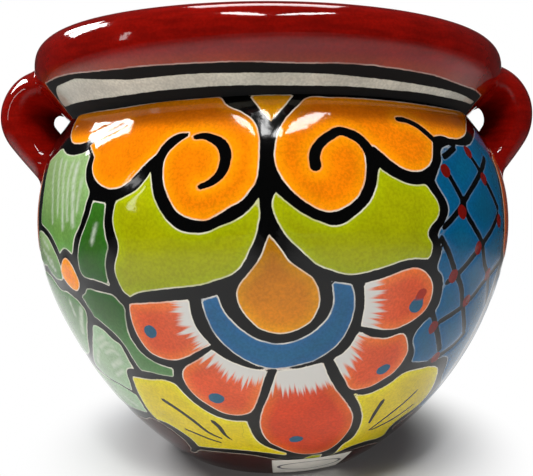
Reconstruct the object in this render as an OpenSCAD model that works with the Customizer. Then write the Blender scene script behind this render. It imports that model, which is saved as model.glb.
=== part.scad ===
// Talavera planter: a round-bellied clay pot with a thick rolled rim and two ear handles.
// Millimetres, +Z up, origin on the ground under the middle of the foot, painted front towards -Y.
// The clay parts are separate solids, set against each other as they are before the slip dries.

/* [Belly] */
// Widest diameter of the belly
belly_d = 230; // [216:1:244]
// Height of the widest part above the ground
belly_z = 112; // [106:1:118]
// Radius of the arc that rounds the belly and the shoulder
belly_arc_r = 80; // [74:1:88]
// Radius of the flatter arc between the belly and the foot
lower_arc_r = 172; // [160:1:200]
// Diameter of the flat foot
foot_d = 104; // [96:1:112]
// Thickness of the wall, square to its face
wall_t = 9; // [7:0.5:11]

/* [Neck and rim] */
// Height of the neck crease, where the wall ends and the rim stands on it
neck_z = 161.5; // [156:0.5:166]
// Outer diameter of the rim
rim_d = 225; // [218:1:234]
// Thickness of the rolled edge of the rim
rim_roll_d = 22; // [18:0.5:26]
// Height of the top of the rim above the ground
rim_top_z = 192.7; // [186:0.5:198]

/* [Handles] */
// Distance from the pot's axis to the outside of a handle
handle_reach = 133.5; // [130:0.5:138]
// Thickness of the strap, seen from the front
handle_t = 22; // [18:0.5:24]
// Width of the strap, seen from the side
handle_w = 40; // [32:1:48]
// How much wider each half of the strap grows where it is pressed on
handle_flare = 4; // [0:0.5:7]
// Thickness of the strap at the end of its tail
tail_t = 15; // [11:0.5:18]
// Radius of the bow, at the middle of the strap
bow_r = 15.7; // [14:0.1:19]
// Height of the middle of the bow above the ground
bow_z = 164.5; // [161:0.5:168]
// How far the strap turns above the bow's middle before it runs into the rim, in degrees
root_turn = 80; // [70:1:88]
// How far the strap turns below the bow's middle before it runs into the belly, in degrees
tail_turn = 33; // [28:1:38]
// Film of slip between a handle or the floor and the wall
slip_t = 0.15; // [0.1:0.05:0.3]

/* [Floor] */
// Thickness of the floor slab
floor_t = 12; // [9:0.5:16]
// Diameter of the drain hole
drain_d = 16; // [10:0.5:24]

/* [Label] */
// Length of the paper label, round the foot
label_w = 30; // [20:1:40]
// Height of the label's lower edge above the ground
label_z = 1.5; // [1:0.5:6]
// Rise of the label from its lower to its upper edge
label_h = 11; // [8:0.5:16]
// Thickness of the label
label_t = 0.25; // [0.2:0.05:0.5]
// Film of glue under the label
label_glue = 0.1; // [0.05:0.05:0.2]
// Direction of the label's middle, to the right of the front, in degrees
label_turn = 14; // [-40:1:40]

/* [Hidden] */
$fn = 180;

// Room that a cutting shape has past the faces it cuts
over = 1;

// The belly arc, and the lower arc that touches it from outside its centre and ends at the foot's edge
belly_c = [belly_d / 2 - belly_arc_r, belly_z];
arc_step = lower_arc_r - belly_arc_r;
foot_run = foot_d / 2 - belly_c.x;
foot_far = norm([foot_run, belly_z]);
arc_turn = atan2(belly_z, foot_run)
    - acos((pow(lower_arc_r, 2) - pow(arc_step, 2) - pow(foot_far, 2)) / (2 * arc_step * foot_far));
lower_c = belly_c + arc_step * [-cos(arc_turn), sin(arc_turn)];

// Radius of the wall's face at the height of the neck, the given depth under its outer face
function neck_r(depth) = belly_c.x + sqrt(pow(belly_arc_r - depth, 2) - pow(neck_z - belly_z, 2));
// The same on the lower arc, at any height up to where the arcs touch
function lower_r(z, depth) = lower_c.x + sqrt(pow(lower_arc_r - depth, 2) - pow(z - lower_c.y, 2));

// The rim's rolled edge, and the neck edges that it is drawn out of
roll_r = rim_roll_d / 2;
roll_c = [rim_d / 2 - roll_r, rim_top_z - roll_r];
neck_out = [neck_r(0), neck_z];
neck_in = [neck_r(wall_t), neck_z];

// Where a line from point p touches the rolled edge, on its outer side (1) or its inner side (-1)
function roll_touch(p, side) =
    let (run = roll_c - p, far = norm(run), turn = atan2(run.y, run.x) - side * asin(roll_r / far))
    p + sqrt(pow(far, 2) - pow(roll_r, 2)) * [cos(turn), sin(turn)];

// The strap's middle line: a straight root in the rim, the bow, and a straight tail into the belly
bow_c = [handle_reach - handle_t / 2 - bow_r, bow_z];
bow_l = bow_r * (root_turn + tail_turn) * PI / 180;
root_l = bow_c.x + bow_r * cos(root_turn) - roll_c.x;
tail_in = belly_d / 2 - wall_t;
tail_l = (bow_c.x + bow_r * cos(tail_turn) - tail_in) / sin(tail_turn) + wall_t;
strap_l = root_l + bow_l + tail_l;
strap_rings = 32;
strap_sides = 24;

// A point on the bow at an angle above its middle, and the way the strap runs there
function bow_at(turn) = bow_c + bow_r * [cos(turn), sin(turn)];
function run_at(turn) = [sin(turn), -cos(turn)];
// The strap's turn above the bow's middle, s from its start
function strap_turn(s) =
    root_turn - min(max(s - root_l, 0), bow_l) / bow_l * (root_turn + tail_turn);
function strap_mid(s) =
    s < root_l ? bow_at(root_turn) - (root_l - s) * run_at(root_turn)
    : bow_at(strap_turn(s)) + max(s - root_l - bow_l, 0) * run_at(-tail_turn);
// A smooth step from 0 to 1
function ease(x) = let (t = min(max(x, 0), 1)) t * t * (3 - 2 * t);
function tail_part(s) = ease((s - root_l - bow_l) / tail_l);
function root_part(s) = 1 - ease(s / (root_l + bow_l / 2));
function half_w(s) = handle_w / 2 + handle_flare * (root_part(s) + tail_part(s));
function half_t(s) = handle_t / 2 - (handle_t - tail_t) / 2 * tail_part(s);
// One oval ring of the strap, square to its middle line
function strap_ring(s) =
    let (mid = strap_mid(s), out = [cos(strap_turn(s)), sin(strap_turn(s))] * half_t(s))
    [for (i = [0 : strap_sides - 1]) let (a = 360 * i / strap_sides)
        [mid.x + out.x * cos(a), half_w(s) * sin(a), mid.y + out.y * cos(a)]];

// Half section of everything inside the wall's outer face, taken the given depth under that face
module wall_section(depth, low, high) {
    split = belly_z - (belly_arc_r - depth) * sin(arc_turn);
    intersection() {
        translate(lower_c) circle(r = lower_arc_r - depth);
        translate([0, low]) square([belly_d, min(split, high) - low]);
    }
    if (high > split)
        intersection() {
            translate(belly_c) circle(r = belly_arc_r - depth);
            translate([0, split]) square([belly_d, high - split]);
        }
}

// Half section of the rim, a flared collar that swells into the rolled edge, grown by the given amount
module rim_section(grow) {
    translate(roll_c) circle(r = roll_r + grow);
    polygon([
        neck_out + [grow, 0], roll_touch(neck_out, 1) + [grow, 0], roll_c,
        roll_touch(neck_in, -1), neck_in
    ]);
}

module pot_wall() {
    color("darkorange") rotate_extrude() difference() {
        wall_section(0, 0, neck_z);
        wall_section(wall_t, -over, neck_z + over);
    }
}

module floor_slab() {
    color("peru") difference() {
        rotate_extrude() wall_section(wall_t + slip_t, 0, floor_t);
        translate([0, 0, -over]) cylinder(d = drain_d, h = floor_t + 2 * over);
    }
}

module rim() {
    color("firebrick") rotate_extrude() rim_section(0);
}

// The strap of one handle, on the +X side, before the pot is taken out of it
module strap() {
    rings = [for (i = [0 : strap_rings]) strap_ring(strap_l * i / strap_rings)];
    last = strap_rings * strap_sides;
    polyhedron(
        points = [for (ring = rings) each ring],
        faces = [
            [for (j = [strap_sides - 1 : -1 : 0]) j],
            for (i = [0 : strap_rings - 1], j = [0 : strap_sides - 1])
                let (a = i * strap_sides + j, b = i * strap_sides + (j + 1) % strap_sides)
                each [[a, b, b + strap_sides], [a, b + strap_sides, a + strap_sides]],
            [for (j = [0 : strap_sides - 1]) last + j]
        ]
    );
}

// A handle, cut to sit on the wall and under the rim with a film of slip between
module handle() {
    color("firebrick") difference() {
        strap();
        rotate_extrude() wall_section(-slip_t, 0, neck_z);
        rotate_extrude() rim_section(slip_t);
    }
}

module left_handle() {
    mirror([1, 0, 0]) handle();
}

module right_handle() {
    handle();
}

module label() {
    label_angle = label_w / lower_r(label_z, 0) * 180 / PI;
    color("ivory") rotate([0, 0, label_turn - 90 - label_angle / 2])
        rotate_extrude(angle = label_angle) difference() {
            wall_section(-label_glue - label_t, label_z, label_z + label_h);
            wall_section(-label_glue, label_z - over, label_z + label_h + over);
        }
}

pot_wall();
floor_slab();
rim();
left_handle();
right_handle();
label();
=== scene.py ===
"""Talavera planter: a round clay pot with a painted glaze, a rolled red rim and two strap handles."""
import math
import bpy
import numpy as np
from mathutils import Matrix, Quaternion, Vector


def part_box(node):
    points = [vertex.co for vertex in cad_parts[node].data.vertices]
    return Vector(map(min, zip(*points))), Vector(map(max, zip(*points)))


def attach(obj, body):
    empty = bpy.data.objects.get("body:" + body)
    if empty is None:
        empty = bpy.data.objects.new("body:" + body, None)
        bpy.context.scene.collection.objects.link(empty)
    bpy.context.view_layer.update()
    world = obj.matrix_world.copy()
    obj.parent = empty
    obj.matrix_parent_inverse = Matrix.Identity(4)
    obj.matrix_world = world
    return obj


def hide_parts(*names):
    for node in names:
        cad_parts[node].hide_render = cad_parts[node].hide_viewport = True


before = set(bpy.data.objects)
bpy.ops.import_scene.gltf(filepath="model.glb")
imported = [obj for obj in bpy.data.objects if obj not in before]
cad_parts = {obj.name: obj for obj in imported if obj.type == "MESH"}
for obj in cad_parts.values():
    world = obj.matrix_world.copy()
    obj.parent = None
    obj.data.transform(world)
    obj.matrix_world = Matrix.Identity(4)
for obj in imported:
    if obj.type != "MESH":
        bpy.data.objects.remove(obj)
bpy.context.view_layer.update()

scene = bpy.context.scene

# Shapes are worked out in millimetres, with azimuth 0 at the painted front (-Y) and positive towards +X.
MM = 0.001


def node_box(name):
    """Lowest and highest corner of a CAD node, in millimetres."""
    low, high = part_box(name)
    return np.array(low) / MM, np.array(high) / MM


# Sizes of the pot. The first six come from the CAD nodes, the others are those of the construction
BELLY_R = node_box("pot_wall")[1][0]
NECK_Z = node_box("pot_wall")[1][2]
RIM_R = node_box("rim")[1][0]
RIM_TOP = node_box("rim")[1][2]
REACH = node_box("right_handle")[1][0]
FLOOR_T = node_box("floor_slab")[1][2]
BELLY_Z = 112.0
BELLY_ARC = 80.0
LOWER_ARC = 172.0
FOOT_R = 52.0
WALL = 9.0
ROLL = 11.0
DRAIN_R = 8.0
SLIP = 0.15
# The rim and handles sit a little to the left of the belly, as on a hand-made pot
LEAN = -2.0
LEAN_FROM, LEAN_TO = 128.0, 166.0

# Camera of the photograph, in its 533 x 476 frame
FRAME_W, FRAME_H = 533, 476
FOCAL_PX = 624.0
CAM_AT = np.array([-3.4, -325.9, 126.0])
CAM_PITCH = 0.07
CAM_ROLL = -0.012

# Colours as they look in daylight, in sRGB values of 0 to 255
BLACK = (4, 4, 4)
CREAM = (236, 231, 216)
ORANGE = (250, 132, 4)
OCHRE = (206, 126, 8)
# Painted shade that darkens the orange under the collar
COLLAR_SHADE = (128, 58, 3)
TEAR_DARK = (168, 100, 5)
TEAR = (222, 132, 6)
LIME = (176, 180, 4)
OLIVE = (152, 156, 4)
PALE_GREEN = (156, 184, 122)
MINT = (156, 184, 146)
MID_GREEN = (104, 152, 66)
LEAF_GREEN = (92, 132, 78)
MOSS = (60, 112, 30)
DARK_GREEN = (36, 86, 14)
LATTICE_BLUE = (5, 92, 129)
CRESCENT_BLUE = (34, 96, 134)
CORAL = (222, 84, 40)
ROSE = (226, 112, 78)
PETAL_RED = (214, 64, 16)
PETAL_WHITE = (214, 212, 206)
# White of the brush marks, and of the one painted highlight among them
MARK_AND_HIGHLIGHT_WHITE = (206, 216, 196)
YELLOW = (222, 198, 4)
MAROON = (58, 20, 18)
RED = (134, 11, 4)
NECK_WHITE = (192, 188, 174)
DOT_RED = (118, 15, 9)
DOT_BLUE = (34, 92, 122)
SMEAR = (166, 40, 16)
PATCH = (206, 80, 34)
CLAY = (176, 104, 68)
SPECK = (96, 54, 38)
BLOOM = (206, 168, 140)
PAPER = (236, 234, 226)
INK = (60, 62, 74)
# Floor colours: pale near the pot and grey far off, a painted pool of light
FLOOR_PALE = (230, 230, 230)
FLOOR_GREY = (120, 120, 120)


def linear(rgb):
    """An sRGB colour of 0 to 255 as linear values."""
    c = np.asarray(rgb, float) / 255
    return np.where(c <= 0.04045, c / 12.92, ((c + 0.055) / 1.055) ** 2.4)


def rgba(rgb):
    """An sRGB colour as a node's linear value."""
    return (*linear(rgb), 1.0)


def ease(x):
    """A smooth step from 0 to 1."""
    t = np.clip(x, 0, 1)
    return t * t * (3 - 2 * t)


def waves(a, *table):
    """A sum of waves round the pot, each with its count, phase and height."""
    return sum(height * np.sin(count * a + phase) for count, phase, height in table)


# The pot's profile: an upper arc about belly_c and a lower one about lower_c, which meet at arc_turn

belly_c = np.array([BELLY_R - BELLY_ARC, BELLY_Z])
arc_step = LOWER_ARC - BELLY_ARC
foot_run = np.array([FOOT_R - belly_c[0], BELLY_Z])
foot_far = np.hypot(*foot_run)
arc_turn = math.atan2(foot_run[1], foot_run[0]) - math.acos(
    (LOWER_ARC ** 2 - arc_step ** 2 - foot_far ** 2) / (2 * arc_step * foot_far))
lower_c = belly_c + arc_step * np.array([-math.cos(arc_turn), math.sin(arc_turn)])


def wall_r(z, depth=0.0):
    """Radius of the wall's face at height z, the given depth under its outer face."""
    z = np.clip(np.asarray(z, float), 0, NECK_Z)
    split = belly_c[1] - (BELLY_ARC - depth) * math.sin(arc_turn)
    low = lower_c[0] + np.sqrt(np.maximum((LOWER_ARC - depth) ** 2 - (z - lower_c[1]) ** 2, 0))
    high = belly_c[0] + np.sqrt(np.maximum((BELLY_ARC - depth) ** 2 - (z - belly_c[1]) ** 2, 0))
    return np.where(z < split, low, high)


def even(points, count):
    """The open line through these points, as so many points at even distances."""
    points = np.asarray(points, float)
    run = np.concatenate([[0], np.cumsum(np.linalg.norm(np.diff(points, axis=0), axis=1))])
    at = np.linspace(0, run[-1], count)
    return np.stack([np.interp(at, run, points[:, k]) for k in range(points.shape[1])], 1)


def arc(centre, radius, start, end, count):
    """Points of an arc from one angle to another, in degrees."""
    a = np.radians(np.linspace(start, end, count))
    return np.stack([centre[0] + radius * np.cos(a), centre[1] + radius * np.sin(a)], 1)


def lean(z):
    """How far the pot stands to one side at this height."""
    return LEAN * ease((np.asarray(z, float) - LEAN_FROM) / (LEAN_TO - LEAN_FROM))


def place(r, z, az):
    """Points at these radii, heights and azimuths, in radians, with the lean of the upper part."""
    return np.stack([r * np.sin(az) + lean(z), -r * np.cos(az), z + 0 * az], -1)


roll_c = np.array([RIM_R - ROLL, RIM_TOP - ROLL])
neck_out = np.array([float(wall_r(NECK_Z)), NECK_Z])
neck_in = np.array([float(wall_r(NECK_Z, WALL)), NECK_Z])


def roll_touch(p, side):
    """Angle, in degrees, at which a line from p touches the roll's outer (1) or inner (-1) side."""
    run = roll_c - p
    far = np.hypot(*run)
    turn = math.atan2(run[1], run[0]) - side * math.asin(ROLL / far)
    touch = p + math.sqrt(far ** 2 - ROLL ** 2) * np.array([math.cos(turn), math.sin(turn)])
    return math.degrees(math.atan2(touch[1] - roll_c[1], touch[0] - roll_c[0]))


# The camera's axes, and its rays onto the belly

RAY_ROOM, RAY_STEPS = 20, 3000
cos_p, sin_p = math.cos(CAM_PITCH), math.sin(CAM_PITCH)
cos_r, sin_r = math.cos(CAM_ROLL), math.sin(CAM_ROLL)
cam_across = np.array([1.0, 0.0, 0.0])
cam_upright = np.array([0.0, sin_p, cos_p])
cam_right = cos_r * cam_across + sin_r * cam_upright
cam_up = cos_r * cam_upright - sin_r * cam_across
cam_ahead = np.array([0.0, cos_p, -sin_p])


def cast(pixels):
    """Azimuth in radians, height and size of a pixel where these places in the frame fall on the belly."""
    pixels = np.asarray(pixels, float)
    u = (pixels[:, 0] - FRAME_W / 2) / FOCAL_PX
    v = (pixels[:, 1] - FRAME_H / 2) / FOCAL_PX
    ray = cam_ahead + u[:, None] * cam_right - v[:, None] * cam_up
    far = np.linspace(-CAM_AT[1] - BELLY_R - RAY_ROOM, -CAM_AT[1] + RAY_ROOM, RAY_STEPS)
    at = CAM_AT + ray[:, None, :] * far[None, :, None]
    x = at[..., 0] - lean(at[..., 2])
    out = np.hypot(x, at[..., 1]) - wall_r(at[..., 2])
    first = np.where((out < 0).any(1), (out < 0).argmax(1), out.argmin(1))
    k = np.arange(len(pixels))
    az = np.arctan2(x[k, first], -at[k, first, 1])
    return np.stack([az, np.minimum(at[k, first, 2], NECK_Z), far[first] / FOCAL_PX], 1)


def side(az, z):
    """A place on the pot's side, by its azimuth in degrees and its height."""
    return ("side", az, z)


# Outlines of the painting, as places in the photograph's frame. A colour field is bounded by its pale edge,
# and the ground between fields is black. A pair of colours runs from the outline's top to its bottom.
FIELDS = [
    ("scroll_left", ORANGE, [
        (78, 113), (120, 107), (142, 103.5), (168, 100), (196, 98.5), (222, 98.5), (226, 104.5),
        (243, 113), (254, 121), (259, 133), (259, 165), (257, 180), (251, 190), (243, 200), (231, 207),
        (217, 215.5), (204.5, 221), (190, 219), (179, 214), (171, 204), (166, 193), (163, 182),
        (162.5, 172), (164, 160.5), (169, 151.5), (178, 143), (189, 135.5), (189, 133), (178, 134),
        (169, 139), (162, 146), (156, 155), (149.5, 160.5), (142, 168), (135, 176), (128, 183),
        (120, 188), (111.5, 189.5), (103, 187), (96, 181), (92.5, 172.5), (92.5, 165), (94.5, 157.5),
        (88, 143.5), (80, 144.5), (73, 143), (71, 138), (72, 128),
    ]),
    ("scroll_right", ORANGE, [
        (306.5, 99), (330, 98.5), (359, 99.5), (401, 102.7), (443, 108), (464, 111), (467, 125),
        (466, 134), (460, 138.7), (450, 138.7), (440.5, 136), (433, 139), (432.4, 152), (432, 159),
        (428, 167), (419, 172), (408, 171.5), (398, 167), (390, 161), (381, 153.5), (373, 147),
        (364, 150), (366, 169), (364.4, 182), (360, 194), (352.4, 203), (339, 210.5), (330.5, 212.7),
        (319, 210), (306.5, 203), (292.4, 191.6), (282.6, 180), (276, 167.6), (274, 156), (275, 143.6),
        (278, 132), (284, 121), (288, 116), (296, 108),
    ]),
    ("neck_triangle", OCHRE, [(249, 95), (294, 96), (287, 105), (279, 114), (271, 122), (262, 113)]),
    ("foot_bit", LIME, [(303, 459), (310, 455.5), (322, 453.5), (321, 457), (312, 460.5), (306, 461)]),
    ("lime_left", (LIME, OLIVE), [
        (115.6, 201.5), (128, 195), (137, 189.5), (145, 180), (151, 171), (153, 191.6), (156, 201.4),
        (162, 212.7), (171, 224), (180.5, 230), (193, 233), (207, 232), (220, 226), (233, 221),
        (244, 214), (252.5, 206), (259, 197), (260, 217), (258, 228), (255, 239.5), (250, 250),
        (245, 260.5), (239.5, 269), (230, 275.6), (217, 280), (200, 285), (180, 287.4), (161, 289.4),
        (138, 293), (131, 297), (123, 290), (119, 281.5), (115.4, 271), (115.4, 263), (118, 252.6),
        (118.7, 245), (116, 235.5), (113.4, 225), (113, 217),
    ]),
    ("lime_right", (LIME, OLIVE), [
        (275, 191.6), (292, 205.7), (306.5, 215.5), (319, 221), (332, 225.4), (345, 223), (353, 217),
        (361.5, 210), (370, 200), (375, 188.7), (377, 177), (378, 167), (384, 172), (394, 178),
        (405, 183), (416.6, 185), (425, 184.5), (430, 191), (436, 199), (439.4, 210), (437, 218.4),
        (431, 226), (428, 231), (428, 236), (431.7, 242), (432.4, 250), (429, 259), (423, 259),
        (410, 259.5), (397, 263), (384, 267.7), (370.6, 271.6), (357.5, 274.7), (345.7, 274.7),
        (332.5, 271), (320.7, 267), (310, 259.4), (300, 250), (289, 239.5), (281, 229), (275, 217),
        (272, 208), (272, 200),
    ]),
    ("teardrop", (TEAR_DARK, TEAR), [
        (268.5, 233), (281, 248), (290, 261), (301, 269), (312, 276.5), (317, 284), (320, 294.5),
        (320, 304), (317, 313), (311, 322), (300, 329), (289, 333), (281, 334), (270, 332.5), (258, 328),
        (247, 317.5), (239, 306), (236, 294), (240, 283), (249, 272), (259, 258), (264, 246),
    ]),
    ("crescent", CRESCENT_BLUE, [
        (201, 299), (205.5, 315), (210.5, 327), (219.5, 340), (231, 351), (245, 360), (259, 366),
        (272, 369), (286, 368), (300, 365), (314, 361), (325, 355), (336, 347), (344, 337.5), (350, 327),
        (354, 314.5), (355.5, 304), (355, 293), (352.5, 284), (331, 281), (333, 292), (332.5, 306),
        (328.5, 316), (320.5, 325.5), (310, 333.5), (298, 339.5), (285, 343), (270, 342.5), (256, 338),
        (243, 330), (232.5, 320.5), (224, 310), (219.5, 299), (218, 294.5),
    ]),
    ("petal_1", CORAL, [
        (130, 303), (165, 301), (189.5, 299), (191.5, 314), (195.5, 325), (203, 335.5), (211, 344.5),
        (200, 350), (187, 357), (176, 360), (163, 358.5), (150, 352), (139.5, 338.5), (132.5, 322.5),
        (130, 310),
    ]),
    ("petal_2", CORAL, [
        (184, 367.5), (193, 362), (202.5, 356), (212, 349), (226, 358.6), (246.5, 367), (268, 370.5),
        (265.4, 376), (259.5, 395), (252, 411.5), (243, 415), (231, 415), (219, 411.5), (208.5, 405.5),
        (198, 398.5), (189.5, 390), (183.5, 380.5), (182, 373.5),
    ]),
    ("petal_3", PETAL_RED, [
        (277, 370), (290, 369.5), (305, 367), (323.5, 362), (329, 377), (337, 390), (345, 400),
        (351.5, 410), (353, 418), (349.5, 428), (342, 438), (331.5, 447), (320, 452), (306, 453.5),
        (293, 452), (280, 447.5), (268, 441), (261.5, 431.5), (259.5, 422), (261.5, 411.5), (268, 396),
        (273, 382),
    ]),
    ("petal_4", CORAL, [
        (333, 358.5), (343.5, 378), (350.5, 389), (361.5, 389), (373, 385.4), (383, 379.6),
        (393.5, 372.6), (401, 364), (407, 354), (408.5, 348), (408, 343), (404, 333.4), (386.4, 337.7),
        (370.6, 336.7), (360, 331.4), (356, 336.7), (349.6, 346.6), (341.7, 354.4),
    ]),
    ("petal_5", CORAL, [
        (364, 283.5), (380, 279), (394, 273.6), (407.4, 268.6), (418, 267.7), (427, 273), (431.7, 280),
        (433, 288), (431, 298.6), (426, 309), (418, 317), (407.4, 324), (395.6, 329), (384, 330),
        (370.6, 328), (361, 326.4), (363, 317), (364.7, 306.5), (365, 296),
    ]),
    ("yellow_left", YELLOW, [
        (131.5, 376.5), (145.5, 379), (174, 383.5), (183.5, 393), (193, 402), (205, 410.5), (217, 416.5),
        (229, 420), (247, 421), (254, 436), (261, 443.5), (274, 449), (287, 452.5), (286, 455),
        (264, 452.5), (240.5, 450.5), (198, 447), (191, 440), (181, 433), (167, 424.5), (156, 420),
        (148, 411.5), (142, 402), (136, 390),
    ]),
    ("yellow_right", YELLOW, [
        (353, 393), (364, 394.5), (377, 390), (390, 383), (402, 373.5), (415, 369), (437, 367),
        (436, 376), (430.5, 389), (424, 398), (418, 404), (410, 410.5), (402, 416), (396, 420.5),
        (391, 425), (387, 430), (384, 434.5), (378, 437.5), (366, 440.5), (352, 445), (343, 449),
        (333, 454), (343, 443), (352, 437), (359, 426), (361.5, 417), (360, 406.5),
    ]),
    ("foot_band", MAROON, [
        side(-88, 26), side(-72, 26), (144.5, 418.5), (150, 418.3), (158, 422), (165, 426.5), (172, 431),
        (179, 436.5), (185, 441.5), (190, 447), (191.5, 452), (196, 452.2), (198.5, 450.4), (215, 451.8),
        (229, 453), (252, 455), (280, 459.5), (302, 461), (322, 457), (342, 452.5), (352, 449.2),
        (362, 445.8), (372, 443), (380, 441.5), (378, 446), side(47, 0.8), side(-88, 0.8),
    ]),
    ("foot_right", MAROON, [
        (391.5, 428), (396, 423.5), (403, 418.3), (412, 411.3), (420, 406), side(72, 24), side(88, 26),
        side(88, 0.8), side(56, 0.8), (392, 433),
    ]),
    ("leaf_top", (PALE_GREEN, MID_GREEN), [
        (64, 149), (66, 152.5), (71, 155.4), (77, 155), (83, 153.3), (88, 150.5), (90, 157), (88.3, 162),
        (86.6, 168), (86.2, 174), (86.5, 180), (88, 185), (90.3, 193), (87.4, 201.5), (85.4, 209.7),
        (82.3, 221), (80, 228), (76.7, 234.5), (75, 240.5), (74, 248.7), (73.6, 255), (71, 252.8),
        (68, 249.5), (65.4, 248.5), (62.8, 250.3), (60.8, 253.8), (57.7, 246.7), (52, 235.4),
        (47.4, 229.2), (42.5, 222), (42.3, 216), (43.3, 205.6), (45.4, 189), (47, 179), (49.5, 167.7),
        (51, 162), (56.7, 155.4),
    ]),
    ("leaf_dark", (MOSS, DARK_GREEN), [
        (93.3, 200.7), (99.7, 201.7), (106.4, 203), (106, 209.7), (105, 219), (105.4, 229), (107, 238.5),
        (109.5, 246.7), (107.3, 256), (106.7, 263), (107.4, 272.3), (109.5, 280.5), (111.5, 286.2),
        (102, 282.2), (95.6, 280), (89.5, 278.5), (85.4, 277), (81.8, 272.3), (79.7, 266), (78.7, 260),
        (79.7, 244.6), (81.3, 237.4), (83.8, 230.3), (87, 222), (90, 213.8), (92, 205.6),
    ]),
    ("almond", ORANGE, [
        (66.4, 257.4), (71, 262), (75, 268.7), (78.2, 276), (80.5, 282.6), (80.3, 286.7), (77.7, 291),
        (74, 289), (70, 285.6), (66.4, 281), (63.8, 276.4), (62.3, 271.3), (62, 265), (63.3, 260),
    ]),
    ("leaf_right", (DARK_GREEN, LEAF_GREEN), [
        (82, 295.6), (86.2, 291.5), (86.7, 288.5), (90.3, 288), (97.4, 290), (105.6, 292), (113.3, 294),
        (117, 297), (120.5, 301.3), (124.6, 305), (126, 309), (126.2, 316), (127.2, 323.3),
        (128.7, 330.5), (130.8, 336.7), (134.4, 342.8), (139.5, 350), (146.7, 356.7), (155, 361.8),
        (165, 366), (173.3, 368), (173.8, 377), (163, 375.6), (150.8, 372.6), (141, 371), (137.4, 366.4),
        (132.8, 359.2), (128.2, 351), (122, 341.8), (113.8, 332.6), (105.6, 325.4), (98.5, 319.2),
        (94.4, 316.2), (91.8, 311), (88.2, 306), (84.6, 299.7),
    ]),
    ("leaf_pale", MINT, [
        (93.5, 325), (101.5, 328), (107.7, 333.6), (113.8, 339.7), (120, 344), (124, 351), (127.2, 357.2),
        (130.3, 363.3), (134, 369.5), (129.2, 368.6), (126.2, 371), (127.2, 376.7), (129.7, 383.8),
        (131.6, 391), (119, 384.5), (109.7, 379), (101.5, 372), (95.4, 365.4), (92.8, 358), (92.3, 348),
        (92.8, 333.6),
    ]),
    ("leaf_left", (PALE_GREEN, MOSS), [
        (42.3, 230.5), (50, 239.5), (55.6, 250.8), (59.2, 259), (61.3, 265), (62.6, 272.3), (64, 280),
        (59.2, 279.6), (54.6, 275.4), (51, 270.3), (49, 266.5), (45.8, 264.8), side(-69, 97),
        side(-86, 90), side(-87, 98), side(-67, 109),
    ]),
    ("leaf_low", (MOSS, MINT), [
        (50.2, 273), (56.4, 281.3), (61, 288.3), (67.7, 291), (73.8, 295.6), (79, 300.3), (83, 305.4),
        (86, 309.5), (87.5, 316), (87.3, 327.4), (88, 342), (89, 352), side(-64, 54), side(-87, 58),
        side(-87, 86), side(-70, 92),
    ]),
    ("leaf_foot", MINT, [
        (101.5, 373), (110.8, 380), (120, 385.5), (128.2, 390.5), (135.4, 395.5), (140, 402),
        (143.6, 408.5), (147.7, 413.6), side(-64, 30), side(-87, 31), side(-87, 53), side(-64, 49),
    ]),
    ("lattice", LATTICE_BLUE, [
        (440, 152), (446, 146), (468, 145), (474, 137), (474, 127), (481, 137), (488, 149), (494, 161),
        side(58.4, 132), side(58, 115), side(58.2, 98), side(57.5, 78), side(56.5, 58), side(55, 36),
        side(49, 31), (424, 404), (436, 389), (441, 376), (446, 357), (432, 360), (418, 362), (411, 362),
        (414, 352), (413, 338), (420, 326), (433, 313), (439, 302), (442, 289), (442, 277), (437, 267),
        (441, 252), (440, 243), (437, 236), (439, 230), (445, 221), (448, 210), (445, 200), (439, 190),
        (434, 181), (437, 172), (441, 160),
    ]),
    ("side_right", LATTICE_BLUE, [
        side(61.5, 89), side(68, 91), side(87, 89), side(87, 31), side(59, 29), side(60, 45),
        side(61, 70),
    ]),
]
# Painted over the fields, each with its own black edge
PATCHES = [
    ("patch_left", PATCH, [
        side(-91, 146), side(-74, 143), side(-67.5, 136), side(-66, 122), side(-66, 110), side(-69, 101),
        side(-91, 97),
    ]),
    ("patch_right", PATCH, [
        side(91, 146), side(66, 145), side(60.5, 140), side(59.6, 128), side(59.3, 112), side(60, 101),
        side(65, 96), side(91, 94),
    ]),
]
PATCH_LINE = 2.6

# Black brush strokes inside the fields: points, and widths spread evenly along the stroke, both in pixels
STROKES = [
    ([
        (196, 137), (204.5, 136), (213, 139), (221, 144), (225.5, 153), (225, 163), (222, 172),
        (216, 179), (207, 184.5), (200, 187),
    ], (6, 8, 10.5, 12, 12, 11, 9, 7, 6)),
    ([(86, 145), (100, 137), (113, 131), (126, 123.5)], (6.5, 5.5, 3.5)),
    ([(433, 140), (423.5, 131.5), (414, 125), (404, 121), (397, 120)], (8, 7, 6)),
    ([
        (371, 158), (366, 148), (359, 140), (350, 135), (339, 132), (329, 137), (320.5, 143.5),
        (315.5, 151), (314, 159), (315.5, 166),
    ], (11, 11, 10, 10.5, 12)),
]
# Lines of the blue lattice, all of one width
LATTICE_W = 6.4
LATTICE = [
    [
        (446, 171), (453, 183), (463, 202.6), (466, 213), (474, 227), (481, 241), (484, 263), (487, 275),
        (485, 301),
    ],
    [(468, 152), (474, 161), (481, 172), (488, 185), (498, 208)],
    [(485, 158), (481, 172), (472, 188), (463, 202.6), (458, 211), (444, 227)],
    [(498, 215), (491, 231), (481, 245), (472, 257), (458, 273), (447, 282)],
    [(441, 238), (449, 254), (455, 273), (460, 284), (462, 305), (463, 331)],
    [(502, 257), (490, 273), (481, 284), (472, 296), (463, 305), (440, 321)],
    [(432, 312), (436, 328), (439, 349)],
    [(463, 333), (453, 344), (440, 354), (430, 360)],
    [(444, 157), (454, 148)],
    [side(60, 88), side(66.2, 73), side(74, 55.5), side(85, 30)],
    [side(74, 93), side(82, 72), side(88, 58)],
    [side(88, 86), side(82, 72), side(74, 55.5), side(62, 28)],
    [side(74, 93), side(66.2, 73), side(60, 56)],
]

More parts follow.
